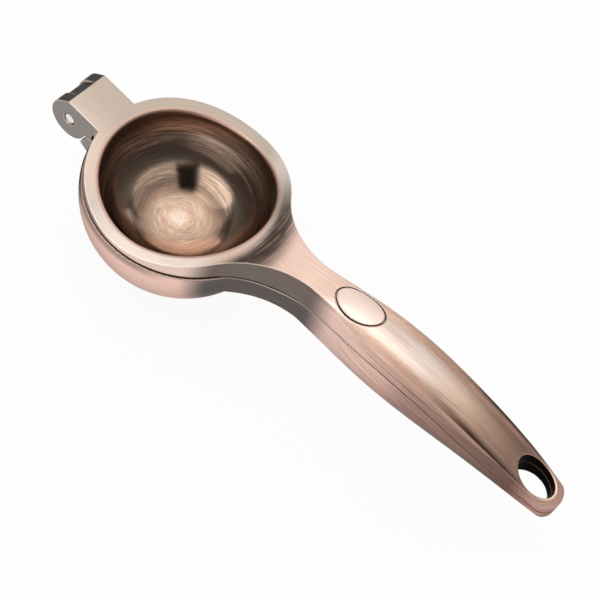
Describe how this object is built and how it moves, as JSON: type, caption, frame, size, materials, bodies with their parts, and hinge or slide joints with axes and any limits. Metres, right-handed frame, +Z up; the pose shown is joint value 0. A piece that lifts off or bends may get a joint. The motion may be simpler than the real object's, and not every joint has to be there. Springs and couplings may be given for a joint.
{
  "type": "lemon squeezer",
  "caption": "Hand-held lever press for citrus: a bowl-shaped plunger hinged on a cup with drain holes, with long hollow grips, a hang hole and an antique copper finish.",
  "frame": {"origin": "middle of the cup's flat foot, on the cup's axis", "axes": "+X from the cup to the end of the grips, +Z up out of the bowl, +Y to the left seen along +X"},
  "size_m": [0.2225, 0.0742, 0.0538],
  "materials": {
    "copper_casting": "brushed antique copper plating on a zinc die casting",
    "pin_steel": "bright drawn steel",
    "badge_copper": "satin copper, bare"
  },
  "bodies": {
    "cup_lever": {"cup_half": "copper_casting"},
    "press_lever": {"press_half": "copper_casting", "hinge_pin": "pin_steel", "badge_plate": "badge_copper"}
  },
  "joints": [
    {"name": "press_hinge", "type": "hinge", "parent": "cup_lever", "child": "press_lever", "pos_m": [-0.0481, 0, 0.03481], "axis": [0, -1, 0], "range_deg": [0, 120]}
  ]
}
